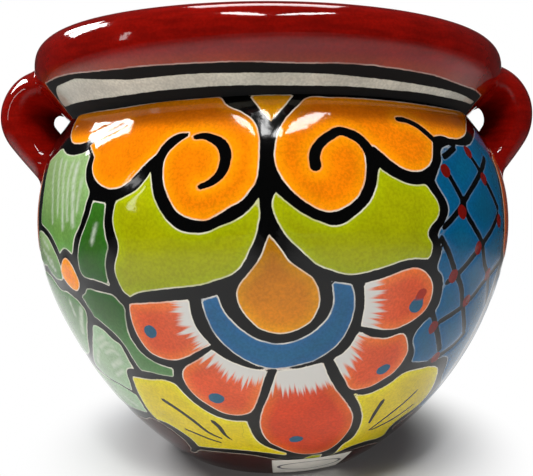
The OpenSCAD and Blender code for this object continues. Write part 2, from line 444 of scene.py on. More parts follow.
# Thin black veins, as points and widths. Neighbours run opposite ways, see Canvas.thin_vein
VEINS = [
    ([(96, 367.5), (101.5, 372.5), (110.8, 379.6), (120, 385), (129, 390.7), (137, 396)], (2.6, 2.6)),
    ([(162, 399.6), (176.4, 409), (193, 421), (208.5, 433), (221.5, 438.7)], (5, 5, 2.5)),
    ([(231.6, 440), (225, 435), (219, 427), (212, 421)], (2, 5, 5.5)),
    ([(221.5, 443), (211, 440), (198, 435), (184.7, 429.5)], (2.5, 3.6, 3)),
    ([(383, 399.5), (375.5, 410.4), (368.5, 422)], (5.5, 5, 3)),
    ([(368, 429), (383, 418), (402, 403), (417, 389)], (2.5, 3.6, 3)),
    ([(413, 403), (396, 415.5), (370, 429)], (3, 3.6, 2.5)),
]

# Edge between the white root and the coral tip of each petal, and the middle of the flower
FLOWER_MIDDLE = (279, 300)
FEATHERS = {
    "petal_1": [(176, 296), (176, 304), (180, 314), (184, 327), (194, 338), (206, 352)],
    "petal_2": [
        (198, 354), (205, 358), (217, 364), (224, 372), (235, 377), (244, 380.5), (258, 380.5),
        (272, 378),
    ],
    "petal_3": [(266, 386), (276, 387), (290, 390), (306, 389), (318, 387), (334, 378)],
    "petal_4": [(366, 328), (362, 337), (356, 343), (358, 355), (350, 364), (345, 373), (338, 380)],
    "petal_5": [(379, 274), (378, 290), (378, 305), (377, 318), (376, 334)],
}
# Soft white brush marks on the leaves, and on the dark leaf one painted highlight, as points and a width
MARKS_AND_HIGHLIGHT = [
    ([(57, 163), (54.5, 180), (54, 200), (54, 222)], 3),
    ([(63, 160), (60.5, 175), (59.5, 195), (59, 215)], 3),
    ([(67, 163), (64.5, 180), (64, 205), (64, 228)], 4),
    ([(74, 163), (70, 178), (68.5, 195), (68.5, 220)], 3.5),
    ([(79, 164), (75, 180), (74, 200), (74, 225)], 6), ([(83, 178), (80, 195), (78, 212)], 3),
    # The first mark on this line, on the dark leaf, is a painted highlight
    ([(97, 225), (93, 242)], 4), ([(97, 341), (104, 336)], 4), ([(100, 347), (107, 343), (113, 346)], 4),
    ([(106, 353), (114, 351), (119, 355)], 4), ([(113, 366), (121, 361)], 6),
    ([(117, 375), (123, 371)], 4), ([(98, 362), (98.5, 350)], 4), ([(44, 238), (50, 248)], 3),
    ([(45, 250), (54, 262)], 3), ([(49, 259), (57, 270)], 3), ([(71, 301), (76, 315)], 4),
    ([(82, 309), (83, 332)], 6), ([(125, 397), (137, 406)], 3),
]
# How strong the pale edge is along strokes, and in fields where it is faint
STROKE_EDGE = 0.2
FAINT_EDGE = {"lattice": 0.5, "side_right": 0.5, "foot_band": 0.5, "foot_right": 0.5}

# Dabs of colour: middle, width and height in millimetres, tilt in degrees, colour
DABS = [
    ((151, 331), 5.8, 5.8, 0, DOT_BLUE), ((216.5, 398), 6.6, 5.8, 10, DOT_BLUE),
    ((296, 438), 5.8, 4.8, 0, DOT_BLUE), ((383, 369), 6.2, 4.8, 30, DOT_BLUE),
    ((416, 305), 6.4, 6.2, 0, DOT_BLUE), ((421, 294), 4.2, 5.4, -30, SMEAR),
]
# Red dots where the lattice lines cross
DOTS = [
    (445, 171), (468, 152), (484, 179), (462, 212), (478, 248), (453, 276), (487, 274), (466, 300),
    (433, 327), (435, 357), (499, 221), side(74, 55.5), side(66.2, 73), side(82, 72),
]
DABS += [(middle, 5.4, 5.6, 0, DOT_RED) for middle in DOTS]

# Grid of the wall's outer face: columns, rows, and columns of it to one column inside
COLS, ROWS, COARSE = 600, 150, 4
# How far glaze stands above the black ground, from which depth and over which length it rises, and how
# far the ground lies under the CAD face
RELIEF, GLAZE_FROM, GLAZE_RISE, GROUND = 0.24, -0.6, 2.4, 0.15
# The foot's edge is kept even up to this height
FOOT_EVEN, FOOT_FADE = 1.0, 6
# Rows of the inner face, and height and pitch of its throwing marks
INNER_ROWS, THROW_H, THROW_PITCH = 44, 0.18, 0.9
# Depth of a point outside every field
FAR_OUT = -12.0
# Size of a pixel at side() points, in millimetres
SIDE_PIXEL = 0.45
# Curves keep corners sharper than this, and run in steps of so many millimetres
CORNER, CURVE_STEP = 0.55, 1.2
# How far round a stroke, vein or mark its distance is worked out
STROKE_ROOM, VEIN_ROOM, MARK_ROOM = 14, 5, 6
# Half the width of a mark's soft edge
MARK_SOFT = 0.9
# Turns round the flower's middle are stretched to about millimetres, for the spikes of the petals' roots
TURN_STRETCH = 45
# Rose in the petals: its share, how far out it is full, over which length it fades, and how much more
# heights count than widths
ROSE_SHARE, ROSE_REACH, ROSE_FADE, ROSE_TALL = 0.75, 28, 26, 1.15
# Painted shade under the collar, in brown: its share, where it starts, over which height it comes,
# where it thins, over which height and by how much
BROWN_SHARE, BROWN_FROM, BROWN_RISE, BROWN_TO, BROWN_FALL, BROWN_LESS = 0.75, 149, 5.5, 156, 4, 0.55
# Kept under a divisor
TINY = 1e-9


def chart(points):
    """Pixels or side() points as azimuth in radians, height, and the size of a pixel there."""
    out = np.zeros((len(points), 3))
    pixels = [k for k, p in enumerate(points) if len(p) == 2]
    if pixels:
        out[pixels] = cast([points[k] for k in pixels])
    for k, p in enumerate(points):
        if len(p) == 3:
            out[k] = math.radians(p[1]), p[2], SIDE_PIXEL
    return out


def curve(points, closed):
    """A smooth line through chart points in even steps, with the sharp corners kept."""
    flat = chart(points) * (BELLY_R, 1, 1)
    n = len(flat)
    ends = range(n if closed else n - 1)
    runs = [flat[(k + 1) % n, :2] - flat[k, :2] for k in ends]
    longs = [max(np.hypot(*run), TINY) for run in runs]
    ways = [run / long for run, long in zip(runs, longs)]

    def tangent(k, here):
        before = ways[k - 1] if closed or k > 0 else ways[0]
        after = ways[k % len(ways)] if closed or k < n - 1 else ways[-1]
        if before @ after < CORNER:
            return ways[here]
        both = before + after
        return both / np.hypot(*both)

    line = []
    for k in ends:
        steps = max(int(longs[k] / CURVE_STEP), 1)
        t = (np.arange(steps) / steps)[:, None]
        a, b = flat[k], flat[(k + 1) % n]
        m0 = tangent(k, k) * longs[k]
        m1 = tangent((k + 1) % n if closed else k + 1, k) * longs[k]
        spot = (2 * t ** 3 - 3 * t ** 2 + 1) * a[:2] + (t ** 3 - 2 * t ** 2 + t) * m0
        spot = spot + (3 * t ** 2 - 2 * t ** 3) * b[:2] + (t ** 3 - t ** 2) * m1
        line.append(np.concatenate([spot, a[2] + (b[2] - a[2]) * t], 1))
    if not closed:
        line.append(flat[-1:])
    line = np.concatenate(line)
    line[:, 0] /= BELLY_R
    line[:, 1] = np.clip(line[:, 1], 0, NECK_Z)
    return line


def on_wall(line):
    return place(wall_r(line[:, 1]), line[:, 1], line[:, 0])


def nearest(spots, starts, ends):
    """Distance of each spot to a chain of segments, the nearest segment, and how far along it that is."""
    run = ends - starts
    rel = spots[:, None, :] - starts[None]
    t = np.clip((rel * run).sum(2) / np.maximum((run ** 2).sum(1), TINY), 0, 1)
    d = np.linalg.norm(rel - t[..., None] * run, axis=2)
    best = d.argmin(1)
    k = np.arange(len(spots))
    return d[k, best], best, t[k, best]


def inside(az, z, line):
    """Which points of the chart lie inside a closed line."""
    a, b = line, np.roll(line, -1, 0)
    span = (a[None, :, 1] > z[:, None]) != (b[None, :, 1] > z[:, None])
    rise = np.where(b[:, 1] == a[:, 1], TINY, b[:, 1] - a[:, 1])
    cross = a[:, 0] + (z[:, None] - a[:, 1]) * (b[:, 0] - a[:, 0]) / rise
    return ((span & (az[:, None] < cross)).sum(1) % 2) == 1


class Canvas:
    """The painted front half of the belly, as values at the points of its grid."""

    def __init__(self, az, z):
        count = len(az)
        self.az, self.z = az, z
        self.spots = place(wall_r(z), z, az)
        self.depth = np.full(count, FAR_OUT)
        self.glaze = np.tile(linear(BLACK), (count, 1))
        self.name = np.full(count, "", dtype="<U16")
        self.dab = np.full(count, FAR_OUT)
        self.dab_colour = np.tile(linear(DOT_BLUE), (count, 1))
        self.vein = np.tile((-FAR_OUT, 0.0, 0.0), (count, 1))
        self.stroked = np.zeros(count, dtype=bool)

    def near(self, spots, room):
        """The grid's points in a box round these spots."""
        low, high = spots.min(0) - room, spots.max(0) + room
        return np.where(((self.spots > low) & (self.spots < high)).all(1))[0]

    def signed(self, points):
        """Points near a closed outline, and how far inside it they lie, in millimetres."""
        line = curve(points, True)
        edge = on_wall(line)
        pick = self.near(edge, -FAR_OUT)
        far, _, _ = nearest(self.spots[pick], edge, np.roll(edge, -1, 0))
        within = inside(self.az[pick], self.z[pick], line[:, :2])
        return pick, np.where(within, far, -far)

    def along(self, points, widths, room):
        """An open line, the points near it, their distance, segment and share of it, and half the width."""
        line = curve(points, False)
        edge = on_wall(line)
        at = np.linspace(0, len(widths) - 1, len(edge))
        half = np.interp(at, np.arange(len(widths)), widths) * line[:, 2] / 2
        pick = self.near(edge, room)
        far, best, t = nearest(self.spots[pick], edge[:-1], edge[1:])
        return line, pick, far, best, t, half[best] + (half[best + 1] - half[best]) * t

    def shaded(self, colour, points, pick):
        """One colour, or a pair of them from the outline's top to its bottom."""
        if np.ndim(colour) == 1:
            return np.tile(linear(colour), (len(pick), 1))
        heights = chart(points)[:, 1]
        share = ease((heights.max() - self.z[pick]) / np.ptp(heights))[:, None]
        return linear(colour[0]) * (1 - share) + linear(colour[1]) * share

    def fill(self, name, colour, points, pick, deep):
        """Colours the points that lie deeper in this outline than in any other."""
        won = deep > self.depth[pick]
        pick, deep = pick[won], deep[won]
        self.depth[pick] = deep
        self.glaze[pick] = self.shaded(colour, points, pick)
        self.name[pick] = name

    def field(self, name, colour, points):
        self.fill(name, colour, points, *self.signed(points))

    def patch(self, name, colour, points):
        """A field with a black edge of its own, painted over what is there."""
        pick, deep = self.signed(points)
        self.depth[pick] = np.minimum(self.depth[pick], -deep - PATCH_LINE)
        self.fill(name, colour, points, pick, deep)

    def stroke(self, points, widths):
        _, pick, far, _, _, wide = self.along(points, widths, STROKE_ROOM)
        won = far - wide < self.depth[pick]
        self.depth[pick[won]] = (far - wide)[won]
        self.stroked[pick[won]] = True

    def thin_vein(self, points, widths):
        """Keeps the signed distance across a vein, so that one thinner than the grid comes out whole."""
        line, pick, far, best, t, wide = self.along(points, widths, VEIN_ROOM)
        run = (line[1:, :2] - line[:-1, :2])[best] * (BELLY_R, 1)
        rel = (np.stack([self.az[pick], self.z[pick]], 1) - line[best, :2]) * (BELLY_R, 1)
        left = np.sign(run[:, 0] * rel[:, 1] - run[:, 1] * rel[:, 0])
        past = ((best == 0) & (t <= 0)) | ((best == len(line) - 2) & (t >= 1))
        won = far < np.abs(self.vein[pick, 0])
        self.vein[pick[won], 0] = (left * far)[won]
        self.vein[pick[won], 1] = np.where(past, wide - far, wide)[won]

    def put_dab(self, middle, width, height, tilt, colour):
        az, z, _ = chart([middle])[0]
        slope = np.gradient(wall_r(np.array([z - 1, z, z + 1])))[1]
        across = (self.az - az) * float(wall_r(z))
        up = (self.z - z) * math.hypot(1, slope)
        c, s = math.cos(math.radians(tilt)), math.sin(math.radians(tilt))
        x, y = across * c + up * s, up * c - across * s
        ring = np.hypot(x / (width / 2), y / (height / 2))
        deep = (1 - ring) * min(width, height) / 2
        won = deep > self.dab
        self.dab[won] = np.maximum(deep[won], FAR_OUT)
        self.dab_colour[won] = linear(colour)

    def brush(self):
        """Turn round the flower's middle, depth in a petal's white root, strength of white brush marks and
        of a painted highlight.
        """
        out = np.zeros((len(self.az), 3))
        az, z, _ = chart([FLOWER_MIDDLE])[0]
        out[:, 0] = np.arctan2((self.az - az) * BELLY_R, self.z - z) % (2 * math.pi) * TURN_STRETCH
        out[:, 1] = FAR_OUT
        for name, edge in FEATHERS.items():
            pick, deep = self.signed(edge + [FLOWER_MIDDLE])
            mine = self.name[pick] == name
            out[pick[mine], 1] = deep[mine]
        for points, width in MARKS_AND_HIGHLIGHT:
            line, pick, far, best, _, _ = self.along(points, (width,), MARK_ROOM)
            soft = ease((width * line[best, 2] / 2 + MARK_SOFT - far) / (2 * MARK_SOFT))
            out[pick, 2] = np.maximum(out[pick, 2], soft)
        return out

    def wash(self, share, family, colour):
        """Mixes a share of a colour into the fields whose names start alike."""
        share = (share * np.char.startswith(self.name, family))[:, None]
        self.glaze = self.glaze * (1 - share) + linear(colour) * share

    def wash_all(self):
        """Petals turn from rose to their full colour, and the orange gets a painted brown shade under the
        collar.
        """
        az, z, _ = chart([FLOWER_MIDDLE])[0]
        reach = np.hypot((self.az - az) * BELLY_R, (self.z - z) * ROSE_TALL)
        self.wash(ROSE_SHARE * (1 - ease((reach - ROSE_REACH) / ROSE_FADE)), "petal", ROSE)
        # Painted shade under the collar: the scrolls' orange turns brown there
        rise = ease((self.z - BROWN_FROM) / BROWN_RISE)
        fall = 1 - BROWN_LESS * ease((self.z - BROWN_TO) / BROWN_FALL)
        self.wash(BROWN_SHARE * (rise * fall), "scroll", COLLAR_SHADE)

    def pale_edge(self):
        """How strongly the pale edge of a field shows. Strokes laid over a field have next to none."""
        out = np.where(self.stroked, STROKE_EDGE, 1.0)
        for name, strength in FAINT_EDGE.items():
            out[self.name == name] *= strength
        return out


def paint_front():
    """Paints the belly's front half. Rows run from the foot to the neck, columns from left to right."""
    heights = np.linspace(0, NECK_Z, 2000)
    profile = even(np.stack([wall_r(heights), heights], 1), ROWS)
    az = np.radians(-90 + 360 * np.arange(COLS // 2) / COLS)
    z_grid, az_grid = np.meshgrid(profile[:, 1], az, indexing="ij")
    canvas = Canvas(az_grid.ravel(), z_grid.ravel())
    for field in FIELDS:
        canvas.field(*field)
    for stroke in STROKES + [(points, (LATTICE_W,)) for points in LATTICE]:
        canvas.stroke(*stroke)
    for patch in PATCHES:
        canvas.patch(*patch)
    for vein in VEINS:
        canvas.thin_vein(*vein)
    for dab in DABS:
        canvas.put_dab(*dab)
    canvas.wash_all()
    return profile, canvas


# Meshes

ATTRIBUTE_KINDS = {1: ("FLOAT", "value"), 3: ("FLOAT_VECTOR", "vector"), 4: ("FLOAT_COLOR", "color")}


def build(name, verts, faces, uvs, materials, slots=None):
    """A smooth mesh object from points in millimetres, with a map for its baked finish."""
    mesh = bpy.data.meshes.new(name)
    mesh.from_pydata((np.asarray(verts) * MM).tolist(), [], faces)
    mesh.polygons.foreach_set("use_smooth", np.ones(len(mesh.polygons), dtype=bool))
    if slots is not None:
        mesh.polygons.foreach_set("material_index", np.asarray(slots, dtype=np.int32))
    layer = mesh.uv_layers.new(name="OFBake")
    layer.data.foreach_set("uv", np.asarray(uvs, dtype=np.float32).ravel())
    for material in materials:
        mesh.materials.append(material)
    mesh.update()
    piece = bpy.data.objects.new(name, mesh)
    scene.collection.objects.link(piece)
    return piece


def give(piece, **values):
    """Stores numbers, vectors or colours at the points of a piece."""
    for name, value in values.items():
        value = np.asarray(value, dtype=np.float32).ravel()
        kind, key = ATTRIBUTE_KINDS[value.size // len(piece.data.vertices)]
        piece.data.attributes.new(name, kind, "POINT").data.foreach_set(key, value)


def colours(rgb, alpha=1.0):
    """Rows of RGB with an alpha added, one for all or one for each."""
    return np.concatenate([rgb, np.broadcast_to(alpha, len(rgb))[:, None]], 1)


def plain_coat(piece):
    """Values of a piece that has no brush marks, dabs or veins."""
    count = len(piece.data.vertices)
    give(
        piece,
        dab=np.full(count, FAR_OUT),
        dab_colour=colours(np.tile(linear(DOT_BLUE), (count, 1))),
        brush=np.tile((0, FAR_OUT, 0), (count, 1)),
        vein=np.tile((-FAR_OUT, 0, 0), (count, 1)),
    )


def turned(run, cols, first=-90):
    """Grids of radius, height and azimuth of a profile turned about the pot's axis."""
    az = np.radians(first + 360 * np.arange(cols) / cols)
    r, a = np.meshgrid(run[:, 0], az, indexing="ij")
    return r, np.repeat(run[:, 1], cols).reshape(r.shape), a


def tube(rows, cols, start, low, high, wrap_rows=False):
    """Faces and map of a grid closed round its columns. low and high bound its share of the map."""
    faces, uvs = [], []
    last = rows if wrap_rows else rows - 1
    for i in range(last):
        v0, v1 = low + (high - low) * i / last, low + (high - low) * (i + 1) / last
        a, b = start + i * cols, start + ((i + 1) % rows) * cols
        for j in range(cols):
            k = (j + 1) % cols
            faces.append((a + j, a + k, b + k, b + j))
            u0, u1 = j / cols, (j + 1) / cols
            uvs += [(u0, v0), (u1, v0), (u1, v1), (u0, v1)]
    return faces, uvs


def stitch(fine, coarse, cols, v0, v1, fine_first):
    """Faces between a row of cols points and one of a COARSE-th as many, with their map."""
    faces, uvs = [], []
    few = cols // COARSE
    for j in range(few):
        many = [fine + (j * COARSE + k) % cols for k in range(COARSE + 1)]
        pair = [coarse + j, coarse + (j + 1) % few]
        mu = [((j * COARSE + k) / cols, v0) for k in range(COARSE + 1)]
        pu = [(j / few, v1), ((j + 1) / few, v1)]
        faces.append(many + pair[::-1] if fine_first else pair + many[::-1])
        uvs += mu + pu[::-1] if fine_first else pu + mu[::-1]
    return faces, uvs


# The belly is fuller at the left: by how much, round which azimuth, how sharply, and at which heights
SWELL, SWELL_AT, SWELL_SHARP = 1.3, -1.35, 6
SWELL_FROM, SWELL_RISE, SWELL_TO, SWELL_FALL = 50, 40, 146, 14


def wobble(az, z):
    """Small swells and throwing marks of a hand-made wall, in millimetres."""
    slow = waves(az, (2, 0.6, 0.35), (3, -z / 31, 0.25), (5, z / 23, 0.2))
    left = SWELL * np.exp(SWELL_SHARP * (np.cos(az - SWELL_AT) - 1))
    left = left * ease((z - SWELL_FROM) / SWELL_RISE) * (1 - ease((z - SWELL_TO) / SWELL_FALL))
    return slow * ease(z / 30) + left


LABEL_W, LABEL_H, LABEL_Z = 30.0, 11.0, 1.5
LABEL_TURN = math.radians(14)
# Half axes of the label's oval frame
OVAL_W, OVAL_H = 12.6, 4.6


def label_zone(az, z):
    """1 where the paper label lies flat on the foot, fading to 0 round it."""
    beside = (np.abs(az - LABEL_TURN) * wall_r(LABEL_Z) - LABEL_W / 2) / 4
    above = (z - LABEL_Z - LABEL_H) / 3
    return (1 - ease(beside)) * (1 - ease(above))


def make_wall(glaze, clay):
    """The wall: its painted outer face, its bare inside and the ring under its foot."""
    profile, canvas = paint_front()

    def both(values):
        """The front's values, and the same again for the back."""
        grid = values.reshape(ROWS, COLS // 2, -1)
        return np.concatenate([grid, grid], 1).reshape(ROWS * COLS, -1)

    r, z, a = turned(profile, COLS)
    slope = np.gradient(profile[:, 0]) / np.maximum(np.gradient(profile[:, 1]), TINY)
    outward = (1 / np.hypot(1, slope))[:, None]
    upward = (-slope / np.hypot(1, slope))[:, None]
    depth = both(canvas.depth).reshape(r.shape)
    raised = RELIEF * ease((depth - GLAZE_FROM) / GLAZE_RISE) + wobble(a, z)
    raised *= ease((z - FOOT_EVEN) / FOOT_FADE) * (1 - label_zone(a, z))
    outer = place(wall_r(z) + raised * outward - GROUND, z + raised * upward, a).reshape(-1, 3)

    few = COLS // COARSE
    inner = [(float(wall_r(h, WALL)), h) for h in np.linspace(NECK_Z, 0, INNER_ROWS)]
    inner = np.array(inner + [(inner[-1][0] + 0.6, 0.0), (FOOT_R - 2.6, 0.0)])
    r, z, a = turned(inner, few)
    marks = THROW_H * np.sin(z * THROW_PITCH + a) * (z > FLOOR_T)
    under = place(r + marks, z, a).reshape(-1, 3)

    base = len(outer)
    faces, uvs = tube(ROWS, COLS, 0, 0.3, 1.0)
    slots = [0] * len(faces)
    for more, maps in (
        tube(len(inner), few, base, 0.28, 0.02),
        stitch((ROWS - 1) * COLS, base, COLS, 1.0, 0.28, True),
        stitch(0, base + (len(inner) - 1) * few, COLS, 0.3, 0.02, False),
    ):
        faces += more
        uvs += maps
        slots += [1] * len(more)
    piece = build("Wall", np.concatenate([outer, under]), faces, uvs, [glaze, clay], slots)

    def whole(values, rest):
        """Values of the painted face, and one value for the bare clay."""
        return np.concatenate([both(values), np.tile(rest, (len(under), 1))])

    give(
        piece,
        depth=whole(canvas.depth, [FAR_OUT]),
        glaze=colours(whole(canvas.glaze, linear(CLAY)), whole(canvas.pale_edge(), [1.0])[:, 0]),
        dab=whole(canvas.dab, [FAR_OUT]),
        dab_colour=colours(whole(canvas.dab_colour, linear(CLAY))),
        brush=whole(canvas.brush(), [0, FAR_OUT, 0]),
        vein=whole(canvas.vein, [-FAR_OUT, 0, 0]),
    )
    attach(piece, "root")
    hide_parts("pot_wall")


# The collar's stripes by azimuth in degrees: heights of the white band's edges, and of the red's edge
BAND_AT = (-66, -45, -37, -30, -13, 0, 14, 28, 45, 62)
BAND_LOW = (165.6, 164.7, 164.5, 164.4, 164.8, 164.7, 164.6, 164.3, 164.3, 164.5)
BAND_HIGH = (171.6, 172.6, 170.4, 169.0, 168.9, 168.2, 167.9, 167.0, 166.4, 166.0)
RED_LOW = (174.6, 174.0, 173.4, 172.6, 171.7, 171.2, 170.9, 170.4, 169.3, 168.5)
# Where the white band and the black round it end, on the left and on the right, and how they slant there
BAND_END, BAND_SLANT = (60.3, 63.5), 0.9
RED_END, RED_SLANT = (61.8, 66.5), 0.3
# Depth in plain red glaze
DEEP = 8.0
# The roll stands higher towards the handles, most on the left: its mean lift and three waves round the rim
ROLL_LIFT = 2.1
ROLL_WAVES = ((1, -1.36, -0.77), (2, -0.33, -1.39), (3, -0.34, 0.15))
ROLL_FROM, ROLL_RISE = 172, 16
RIM_COLS, RIM_ROWS = 432, 96


def make_rim(glaze):
    """The collar with its painted stripes, and the rolled edge."""
    out_touch = roll_touch(neck_out, 1)
    in_touch = roll_touch(neck_in, -1)
    rolled = arc(roll_c, ROLL, out_touch, in_touch + 360 if in_touch < out_touch else in_touch, 60)
    collar_way = (rolled[0] - neck_out) / np.hypot(*(rolled[0] - neck_out))
    skirt_z = NECK_Z - 1.4
    run = even(np.concatenate([
        [(float(wall_r(skirt_z)) - 1.2, skirt_z)],
        [neck_out + (0.1, 0.1), neck_out + (0.5, 0.35), neck_out + collar_way * 2.6 + (0.25, 0)],
        even([neck_out + collar_way * 5.5, rolled[0]], 12)[:-1],
        rolled,
        [neck_in, neck_in + (2.0, -1.5)],
    ]), RIM_ROWS)
    r, z, a = turned(run, RIM_COLS)
    lift = ease((z - NECK_Z) / 20)
    swell = ROLL_LIFT + sum(s * np.sin(n * a) + c * np.cos(n * a) for n, s, c in ROLL_WAVES)
    z_hand = z + lift * waves(a, (2, 1.0, 0.45), (3, 0.3, 0.3))
    z_hand += swell * ease((z - ROLL_FROM) / ROLL_RISE)
    r_hand = r + lift * waves(a, (2, -0.4, 0.35), (5, 0, 0.2))
    faces, uvs = tube(len(run), RIM_COLS, 0, 0.0, 1.0, wrap_rows=True)
    piece = build("Rim", place(r_hand, z_hand, a).reshape(-1, 3), faces, uvs, [glaze])

    outer_face = (np.arange(len(run)) < np.argmax(run[:, 1]))[:, None]
    slant = math.hypot(1, collar_way[0] / collar_way[1])
    turn = np.degrees((a + math.pi / 2) % math.pi - math.pi / 2)
    wave = waves(a, (9, 0.8, 0.2), (17, 0, 0.15))
    low, high, top = (np.interp(turn, BAND_AT, edge) for edge in (BAND_LOW, BAND_HIGH, RED_LOW))
    middle, half = (low + high) / 2, (high - low) / 2 * slant
    band_end, red_end = (np.where(turn < 0, *ends) for ends in (BAND_END, RED_END))
    end = np.radians(band_end - BAND_SLANT * (z - middle) * np.sign(-turn) - np.abs(turn)) * neck_out[0]
    room = half - np.abs(z - middle) * slant + 0.5 * wave
    white = np.where(end < half, np.minimum(room, half - np.hypot(half - end, half - room)), room)
    past = np.radians(np.abs(turn) - red_end + RED_SLANT * (z - middle)) * neck_out[0]
    red = np.minimum(np.maximum((z - top) * slant + wave, past), DEEP)
    is_white = (white > red) & outer_face
    tint = np.where(is_white[..., None], linear(NECK_WHITE), linear(RED))
    give(
        piece,
        depth=np.where(outer_face, np.maximum(white, red), DEEP),
        glaze=colours(tint.reshape(-1, 3), np.where(is_white, 0.0, 0.45).ravel()),
    )
    plain_coat(piece)
    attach(piece, "root")
    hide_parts("rim")


# The strap handles, drawn as in the construction: a root in the rim, a bow, a tail into the belly
STRAP_T, STRAP_W, TAIL_T, FLARE = 22.0, 40.0, 15.0, 4.0
BOW_R, BOW_Z = 15.7, 164.5
ROOT_TURN, TAIL_TURN = math.radians(80), math.radians(33)
# How far along the strap the bow's thinner and duller inside fades
BOW_LONG = 14
STRAP_RINGS, STRAP_SIDES = 132, 72
# The strap thickens where it meets the pot: by how much, how much more on its inside, and from how far
FILLET, FILLET_IN, FILLET_FROM = 2.6, 1.6, 6.5
# Its ends stop this deep in the wall
END_DEPTH = WALL - 5
# On the left the strap bows out a little further, and its tail is thicker
LEFT_OUT, LEFT_TAIL_T = 1.4, 19.0
# On the right its bow is thinner on the inside
RIGHT_THIN = 2.4
# Gap to a part of the pot that isn't at this height
NOT_THERE = 50


def pot_gap(spots):
    """Rough distance from these points to the pot's outer face."""
    r = np.hypot(spots[:, 0], spots[:, 1])
    z = spots[:, 2]
    belly = np.where(z < NECK_Z, np.hypot(r - belly_c[0], z - belly_c[1]) - BELLY_ARC, NOT_THERE)
    roll = np.hypot(r - roll_c[0], z - roll_c[1]) - ROLL
    share = np.clip((z - NECK_Z) / (roll_c[1] - NECK_Z), 0, 1)
    collar = np.where(z >= NECK_Z, r - (neck_out[0] + (RIM_R - 2 - neck_out[0]) * share), NOT_THERE)
    return np.minimum(np.minimum(belly, roll), collar)


def make_handle(name, node, glaze, hand):
    """A strap swept along its line. hand is 1 on the right and -1 on the left."""
    bow_c = np.array([REACH - STRAP_T / 2 - BOW_R, BOW_Z])
    bow_l = BOW_R * (ROOT_TURN + TAIL_TURN)
    root_l = bow_c[0] + BOW_R * math.cos(ROOT_TURN) - roll_c[0]
    tail_l = (bow_c[0] + BOW_R * math.cos(TAIL_TURN) - (BELLY_R - WALL)) / math.sin(TAIL_TURN) + WALL
    s = np.linspace(0, root_l + bow_l + tail_l, STRAP_RINGS)
    turn = ROOT_TURN - np.clip(s - root_l, 0, bow_l) / bow_l * (ROOT_TURN + TAIL_TURN)
    out = np.stack([np.cos(turn), np.sin(turn)], 1)
    run = np.stack([np.sin(turn), -np.cos(turn)], 1)
    straight = np.minimum(s - root_l, 0) + np.maximum(s - root_l - bow_l, 0)
    mid = bow_c + BOW_R * out + straight[:, None] * run
    tail = ease((s - root_l - bow_l) / tail_l)
    root = 1 - ease(s / (root_l + bow_l / 2))
    bow = np.exp(-(straight / BOW_LONG) ** 2)
    tail_t = LEFT_TAIL_T if hand < 0 else TAIL_T
    half_t = (STRAP_T / 2 - (STRAP_T - tail_t) / 2 * tail)[:, None]
    half_w = (STRAP_W / 2 + FLARE * (root + tail))[:, None]
    half_in = half_t - (RIGHT_THIN * bow[:, None] if hand > 0 else 0)

    a = np.linspace(0, 2 * math.pi, STRAP_SIDES, endpoint=False)
    cos_a, sin_a = np.cos(a), np.sin(a)
    inner = np.tile(np.clip(-cos_a, 0, 1), STRAP_RINGS)
    dent = 1 + 0.02 * np.sin(3 * a + s[:, None] / 9)
    lift = np.where(cos_a < 0, half_in, half_t) * cos_a * dent
    out_x, out_z = out[:, :1], out[:, 1:]
    verts = np.stack([mid[:, :1] + out_x * lift, half_w * sin_a * dent, mid[:, 1:] + out_z * lift], -1)
    ray = np.stack([out_x * cos_a / half_t, sin_a / half_w, out_z * cos_a / half_t], -1)
    ray /= np.linalg.norm(ray, axis=-1, keepdims=True)
    verts = verts.reshape(-1, 3)
    close = np.clip(1 - np.maximum(pot_gap(verts), 0) / (FILLET_FROM + inner), 0, 1)
    verts = verts + ray.reshape(-1, 3) * ((FILLET + FILLET_IN * inner) * close ** 2)[:, None]
    r = np.hypot(verts[:, 0], verts[:, 1])
    least = np.where(verts[:, 2] < NECK_Z, wall_r(verts[:, 2], END_DEPTH), 0)
    verts[:, :2] *= (np.maximum(r, least) / r)[:, None]
    if hand < 0:
        verts[:, 0] += LEFT_OUT * ease((verts[:, 0] - 105) / 20)
    verts[:, 0] = verts[:, 0] * hand + lean(verts[:, 2])

    faces, uvs = tube(STRAP_RINGS, STRAP_SIDES, 0, 0.05, 0.95)
    ends = [list(range(STRAP_SIDES))[::-1], list(range(len(verts) - STRAP_SIDES, len(verts)))]
    for end, v in zip(ends, (0.025, 0.975)):
        faces.append(end)
        uvs += [(0.02 + 0.02 * math.cos(t), v + 0.02 * math.sin(t)) for t in a]
    if hand > 0:
        faces = [f[::-1] for f in faces]
        corners = np.cumsum([0] + [len(f) for f in faces])
        uvs = [uv for k in range(len(faces)) for uv in uvs[corners[k]:corners[k + 1]][::-1]]
    piece = build(name, verts, faces, uvs, [glaze])
    # The glaze is thin and dull on the inside of the bow, round the finger hole
    give(
        piece,
        depth=np.full(len(verts), DEEP),
        dull=ease(2.5 * np.repeat(bow, STRAP_SIDES) * inner),
        glaze=colours(np.tile(linear(RED), (len(verts), 1))),
    )
    plain_coat(piece)
    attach(piece, "root")
    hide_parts(node)


SLAB_COLS = 180


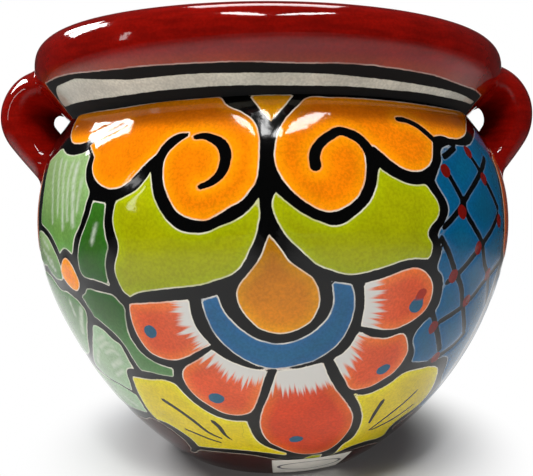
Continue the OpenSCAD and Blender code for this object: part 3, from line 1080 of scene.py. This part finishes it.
def make_floor_slab(clay):
    """The slab inside the wall, with rings left by the potter's fingers and a cut drain hole."""
    edge_low = float(wall_r(0, WALL + SLIP))
    edge_high = float(wall_r(FLOOR_T, WALL + SLIP))
    r = np.linspace(edge_high - 0.8, DRAIN_R + 1.2, 46)
    rings = FLOOR_T - 0.5 + 0.3 * np.cos(r * 0.85) + 1.2 * ease((r - 36) / 8)
    run = np.concatenate([
        np.stack([r, np.minimum(rings, FLOOR_T)], 1),
        [(DRAIN_R + 0.3, FLOOR_T - 1.2), (DRAIN_R, FLOOR_T - 2.4), (DRAIN_R, 1.0), (DRAIN_R + 0.6, 0.1)],
        [(20.0, 0.0), (edge_low - 0.4, 0.0), (edge_low, 0.3)],
    ])
    faces, uvs = tube(len(run), SLAB_COLS, 0, 0.0, 1.0, wrap_rows=True)
    verts = place(*turned(run, SLAB_COLS, 0)).reshape(-1, 3)
    piece = build("Floor_slab", verts, faces, uvs, [clay])
    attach(piece, "root")
    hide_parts("floor_slab")


LABEL_ACROSS, LABEL_UP = 60, 24
# Heights of the label's face and back over the wall
LABEL_FACES = (0.32, 0.02)


def make_label(paper):
    """A small paper label with a plain oval frame, stuck to the foot."""
    across, up = LABEL_ACROSS, LABEL_UP
    u, v = np.meshgrid(np.linspace(-1, 1, across), np.linspace(0, 1, up), indexing="ij")
    low_r = float(wall_r(LABEL_Z))
    slope = (float(wall_r(LABEL_Z + LABEL_H)) - low_r) / LABEL_H
    az = LABEL_TURN + u * (LABEL_W / low_r) / 2
    z = LABEL_Z + v * LABEL_H
    layers = [place(wall_r(z) + lift, z, az).reshape(-1, 3) for lift in LABEL_FACES]
    n = across * up
    faces, uvs = [], []
    for i in range(across - 1):
        for j in range(up - 1):
            k = i * up + j
            quad = (k, k + up, k + up + 1, k + 1)
            spots = [(i, j), (i + 1, j), (i + 1, j + 1), (i, j + 1)]
            faces += [quad, tuple(n + q for q in quad[::-1])]
            uvs += [(0.02 + 0.96 * p / across, 0.52 + 0.46 * q / up) for p, q in spots]
            uvs += [(0.02 + 0.96 * p / across, 0.02 + 0.46 * q / up) for p, q in spots[::-1]]
    rim = [i * up for i in range(across)] + [(across - 1) * up + j for j in range(1, up)]
    rim += [i * up + up - 1 for i in range(across - 2, -1, -1)] + list(range(up - 2, 0, -1))
    for k, here in enumerate(rim):
        there = rim[(k + 1) % len(rim)]
        u0, u1 = k / len(rim), (k + 1) / len(rim)
        faces.append((here, n + here, n + there, there))
        uvs += [(u0, 0.5), (u0, 0.49), (u1, 0.49), (u1, 0.5)]
    piece = build("Label", np.concatenate(layers), faces, uvs, [paper])
    oval = np.hypot(u * LABEL_W / 2 / OVAL_W, (v - 0.5) * LABEL_H * math.hypot(1, slope) / OVAL_H)
    give(piece, oval=np.tile(oval.ravel(), 2))
    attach(piece, "root")
    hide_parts("label")


# Materials

class Shader:
    """A material's node tree, with short calls for the nodes used here."""

    def __init__(self, name):
        self.material = bpy.data.materials.new(name)
        self.material.use_nodes = True
        self.tree = self.material.node_tree
        self.bsdf = self.tree.nodes["Principled BSDF"]
        self.spot = self.node("TexCoord", {})["Object"]

    def feed(self, socket, value):
        if isinstance(value, bpy.types.NodeSocket):
            self.tree.links.new(value, socket)
        else:
            socket.default_value = value

    def node(self, kind, inputs, **settings):
        """The outputs of a new node with these settings and inputs."""
        node = self.tree.nodes.new("ShaderNode" + kind)
        for key, value in settings.items():
            setattr(node, key, value)
        for key, value in inputs.items():
            self.feed(node.inputs[key], value)
        return node.outputs

    def set(self, **values):
        for name, value in values.items():
            self.feed(self.bsdf.inputs[name.replace("_", " ")], value)

    def math(self, operation, a, b=0.0):
        return self.node("Math", {0: a, 1: b}, operation=operation)[0]

    def plus(self, a, b):
        return self.math("ADD", a, b)

    def minus(self, a, b):
        return self.math("SUBTRACT", a, b)

    def times(self, a, b):
        return self.math("MULTIPLY", a, b)

    def larger(self, a, b):
        return self.math("MAXIMUM", a, b)

    def step(self, value, low, high, start=0.0, end=1.0):
        """A smooth step from start to end as the value goes from low to high."""
        inputs = {"Value": value, "From Min": low, "From Max": high, "To Min": start, "To Max": end}
        return self.node("MapRange", inputs, interpolation_type="SMOOTHSTEP")[0]

    def mix(self, share, a, b):
        return self.node("Mix", {0: share, 6: a, 7: b}, data_type="RGBA")[2]

    def split(self, vector):
        return self.node("SeparateXYZ", {0: vector})

    def flow(self):
        """Places squeezed along the ground, for features that run level."""
        return self.node("Mapping", {"Vector": self.spot, "Scale": (0.16, 0.16, 1.0)})[0]

    def noise(self, size, detail=2.0, spot=None):
        """Noise with features of about this size in millimetres."""
        inputs = {"Vector": spot or self.spot, "Scale": 1 / (size * MM), "Detail": detail}
        return self.node("TexNoise", inputs)[0]

    def noise_along(self, value, size, detail=2.0):
        """Noise along one value, with features of this size."""
        inputs = {"W": value, "Scale": 1 / size, "Detail": detail}
        return self.node("TexNoise", inputs, noise_dimensions="1D")[0]

    def away(self):
        """Distance from the frame's origin, in metres."""
        return self.node("VectorMath", {0: self.spot, 1: (0, 0, 0)}, operation="DISTANCE")["Value"]

    def attribute(self, name, output):
        return self.node("Attribute", {}, attribute_name=name)[output]

    def tint(self, colour, value, hue=0.5):
        return self.node("HueSaturation", {"Color": colour, "Value": value, "Hue": hue})[0]

    def bump(self, height, depth):
        """Bump from a height of 0 to 1 that stands for so many millimetres."""
        inputs = {"Height": height, "Distance": depth * MM, "Strength": 1.0}
        self.feed(self.bsdf.inputs["Normal"], self.node("Bump", inputs)[0])


# Depth at which the pale edge of a field ends
HALO = 0.5


def paint_material(name, value_low, value_high, patch_size, streaks, line_rough, ior, has_dull=False):
    """Painted glaze: black ground, colour fields with a thin pale edge, brush marks and dabs."""
    s = Shader(name)
    wander = s.minus(s.noise(3.2), 0.5)
    edge = s.plus(s.attribute("depth", "Fac"), s.times(wander, 0.55))
    grain = s.step(s.noise(1.0, 1.0), 0.25, 0.75, 0.88, 1.1)
    tone = s.times(s.step(s.noise(patch_size, 3.0), 0.3, 0.7, value_low, value_high), grain)
    lines = s.step(s.noise(2.0, 3.0, spot=s.flow()), 0.3, 0.7, -streaks, streaks / 2)
    tone = s.times(tone, s.plus(s.times(lines, s.step(edge, 3.0, 8.0)), 1.0))
    thin = s.step(edge, 0.4, 5.0, 1.12, 1.0)
    hue = s.step(edge, 0.4, 6.0, 0.512, 0.5)
    colour = s.tint(s.attribute("glaze", "Color"), s.times(tone, thin), hue)

    # White petal roots with spiky edges, and soft white brush marks, one of them a painted highlight
    turn, root, streak = s.split(s.attribute("brush", "Vector"))
    spikes = s.times(s.minus(s.noise_along(turn, 2.0), 0.5), 13.0)
    colour = s.mix(s.step(s.plus(root, spikes), -2.4, 1.8), colour, rgba(PETAL_WHITE))
    mark = s.times(s.step(s.noise(2.6), 0.25, 0.6, 0.4, 0.85), streak)
    colour = s.mix(mark, colour, rgba(MARK_AND_HIGHLIGHT_WHITE))

    # Pale edges, the black ground and veins, and dabs
    worn = s.times(s.attribute("glaze", "Alpha"), s.step(s.noise(7.0), 0.3, 0.65, 0.45, 1.0))
    halo = s.times(s.step(edge, HALO - 0.3, HALO + 0.25, 0.9, 0.0), worn)
    colour = s.mix(halo, colour, rgba(CREAM))
    across, half, _ = s.split(s.attribute("vein", "Vector"))
    beside = s.plus(s.minus(s.math("ABSOLUTE", across), half), s.times(wander, 0.3))
    ground = s.larger(s.step(edge, -0.14, 0.14, 1.0, 0.0), s.step(beside, -0.12, 0.12, 1.0, 0.0))
    colour = s.mix(ground, colour, rgba(BLACK))
    dab = s.step(s.plus(s.attribute("dab", "Fac"), s.times(wander, 0.9)), -0.15, 0.2)
    colour = s.mix(dab, colour, s.tint(s.attribute("dab_colour", "Color"), tone))

    rough = s.step(ground, 0.0, 1.0, 0.06, line_rough)
    s.set(Base_Color=colour, Roughness=rough, IOR=ior)
    if has_dull:
        s.set(Specular_IOR_Level=s.step(s.attribute("dull", "Fac"), 0.0, 1.0, 0.5, 0.0))
    s.bump(s.plus(s.times(s.noise(2.4), 0.5), s.times(s.noise(9.0), 1.6)), 0.05)
    return s.material


def clay_material():
    """Bare fired clay: patchy colour, specks, fine grain and lime bloom."""
    s = Shader("Terracotta")
    colour = s.tint(rgba(CLAY), s.step(s.noise(26, 4.0), 0.3, 0.7, 0.82, 1.12))
    specks = s.step(s.noise(1.1, 1.0), 0.66, 0.74)
    colour = s.mix(s.times(specks, 0.5), colour, rgba(SPECK))
    bloom = s.step(s.noise(14, 5.0), 0.55, 0.8, 0.0, 0.45)
    colour = s.mix(bloom, colour, rgba(BLOOM))
    s.set(Base_Color=colour, Roughness=0.88)
    s.bump(s.plus(s.noise(0.8, 3.0), s.times(s.noise(5.0), 2.0)), 0.12)
    return s.material


def paper_material():
    """Coated paper with a plain printed oval line."""
    s = Shader("Label_paper")
    oval = s.math("ABSOLUTE", s.minus(s.attribute("oval", "Fac"), 1.0))
    tone = s.step(s.noise(4.0, 3.0), 0.3, 0.7, 0.95, 1.03)
    line = s.step(oval, 0.03, 0.07, 1.0, 0.0)
    s.set(Base_Color=s.mix(line, s.tint(rgba(PAPER), tone), rgba(INK)), Roughness=0.55)
    s.bump(s.noise(0.5), 0.02)
    return s.material


glaze_paint = paint_material(
    "Painted_glaze", value_low=0.9, value_high=1.06, patch_size=16, streaks=0.03, line_rough=0.1, ior=1.4)
red_paint = paint_material(
    "Red_glaze", value_low=0.8, value_high=1.12, patch_size=24, streaks=0.2, line_rough=0.9, ior=1.46,
    has_dull=True)
terracotta = clay_material()
make_wall(glaze_paint, terracotta)
make_rim(red_paint)
make_handle("Left_handle", "left_handle", red_paint, -1)
make_handle("Right_handle", "right_handle", red_paint, 1)
make_floor_slab(terracotta)
make_label(paper_material())


# Stage, light and camera, in metres

FLOOR_SIDE, FLOOR_FRONT, FLOOR_BACK = 1.6, -1.6, 1.5
SWEEP_R, SWEEP_TOP, SWEEP_HALF = 0.3, 0.75, 0.9
# The floor is painted palest near the pot, a painted pool of light that greys with distance
LIGHT_POOL_NEAR, LIGHT_POOL_FAR = 0.25, 0.8
# The white background widens behind the pot and has soft edges. Near the pot the floor shows its shadow
BACK_NEAR, BACK_SPREAD = 0.165, 0.43
BACK_FRONT = (-0.2, -0.06)
BACK_EDGE = (-0.06, 0.015)
SHADOW_EDGE = (0.065, 0.13)


def sheet_material():
    """A floor with a painted pool of light, pale near the pot and greyer far from it, and a plain white
    background behind the pot.
    """
    s = Shader("Sheet")
    x, y, _ = s.split(s.spot)
    away = s.away()
    # Painted pool of light: the floor is paler near the pot
    shade = s.mix(s.step(away, LIGHT_POOL_NEAR, LIGHT_POOL_FAR), rgba(FLOOR_PALE), rgba(FLOOR_GREY))
    tone = s.step(s.noise(220), 0.3, 0.7, 0.985, 1.0)
    s.set(Base_Color=s.tint(shade, tone), Roughness=0.8, Specular_IOR_Level=0.1)

    path = s.node("LightPath", {})
    seen = s.larger(path["Is Camera Ray"], path["Is Glossy Ray"])
    seen = s.larger(seen, path["Is Transmission Ray"])
    cone = s.minus(s.plus(s.times(y, BACK_SPREAD), BACK_NEAR), s.math("ABSOLUTE", x))
    back = s.times(s.step(y, *BACK_FRONT), s.step(cone, *BACK_EDGE))
    back = s.times(back, s.step(away, *SHADOW_EDGE))
    glow = s.node("Emission", {})[0]
    blend = s.node("MixShader", {0: s.times(seen, back), 1: s.bsdf.outputs[0], 2: glow})[0]
    s.feed(s.tree.nodes["Material Output"].inputs["Surface"], blend)
    return s.material


def make_stage():
    """A floor that bends up behind the pot."""
    run = [(FLOOR_FRONT, 0.0, FLOOR_SIDE), (FLOOR_BACK - 2 * SWEEP_R, 0.0, FLOOR_SIDE)]
    run += [(y, z, SWEEP_HALF) for y, z in arc((FLOOR_BACK - SWEEP_R, SWEEP_R), SWEEP_R, -90, 0, 16)]
    run += [(FLOOR_BACK, SWEEP_TOP, SWEEP_HALF)]
    verts = [(x, y, z) for y, z, half in run for x in (-half, half)]
    faces = [(2 * k, 2 * k + 1, 2 * k + 3, 2 * k + 2) for k in range(len(run) - 1)]
    mesh = bpy.data.meshes.new("Sheet")
    mesh.from_pydata(verts, [], faces)
    mesh.polygons.foreach_set("use_smooth", np.ones(len(faces), dtype=bool))
    mesh.materials.append(sheet_material())
    sheet = bpy.data.objects.new("Sheet", mesh)
    scene.collection.objects.link(sheet)


def make_light(name, at, aim, width, height, watts, turn=0, mirrored=True, shape="RECTANGLE"):
    """A soft lamp. One that isn't mirrored gives light but no highlight on the glaze."""
    data = bpy.data.lights.new(name, "AREA")
    data.shape = shape
    data.size, data.size_y = width, height
    data.energy = watts
    lamp = bpy.data.objects.new(name, data)
    lamp.location = at
    facing = (Vector(aim) - Vector(at)).to_track_quat("-Z", "Y")
    lamp.rotation_euler = (facing @ Quaternion((0, 0, 1), math.radians(turn))).to_euler()
    lamp.visible_glossy = mirrored
    scene.collection.objects.link(lamp)


# Width of the camera's sensor, in millimetres
SENSOR_W = 36.0


def make_camera():
    """The camera of the photograph."""
    data = bpy.data.cameras.new("Camera")
    data.sensor_fit = "HORIZONTAL"
    data.sensor_width = SENSOR_W
    data.lens = SENSOR_W * FOCAL_PX / FRAME_W
    data.clip_start = 0.01
    camera = bpy.data.objects.new("Camera", data)
    turned_to = Matrix(np.stack([cam_right, cam_up, -cam_ahead], 1).tolist()).to_4x4()
    camera.matrix_world = Matrix.Translation(Vector(CAM_AT * MM)) @ turned_to
    scene.collection.objects.link(camera)
    scene.camera = camera


# What the lamps are aimed at
POT = (0, 0, 0.1)
SHOULDER = (-0.06, -0.08, 0.15)

make_stage()
make_light("Window_back", (-0.93, 0.445, 0.98), SHOULDER, 0.22, 0.34, 4.2, turn=-27)
make_light("Window_front", (-1.05, 0.19, 0.915), SHOULDER, 0.26, 0.42, 6.4, turn=-27)
make_light("Bar_left", (-0.165, -0.59, 1.14), POT, 0.42, 0.15, 3.7, turn=-40, shape="ELLIPSE")
make_light("Bar_right", (0.24, -0.54, 1.14), POT, 0.54, 0.11, 3.5, turn=27, shape="ELLIPSE")
make_light("Lamp", (-1.0, -0.52, 0.44), (-0.05, -0.1, 0.12), 0.08, 0.3, 0.5)
make_light("Back", (0.0, 0.33, 1.3), POT, 0.66, 0.35, 5)
make_light("Fill", (-0.35, -0.55, 1.35), POT, 0.8, 0.5, 5.1, mirrored=False)
make_light("Low_fill", (0.1, -1.5, 0.2), (0, 0, 0.08), 1.2, 0.3, 6.6, mirrored=False)
make_camera()
world = bpy.data.worlds.new("World")
world.use_nodes = True
world.node_tree.nodes["Background"].inputs["Color"].default_value = (0.9, 0.95, 1.0, 1.0)
world.node_tree.nodes["Background"].inputs["Strength"].default_value = 0.03
scene.world = world
scene.view_settings.view_transform = "Standard"
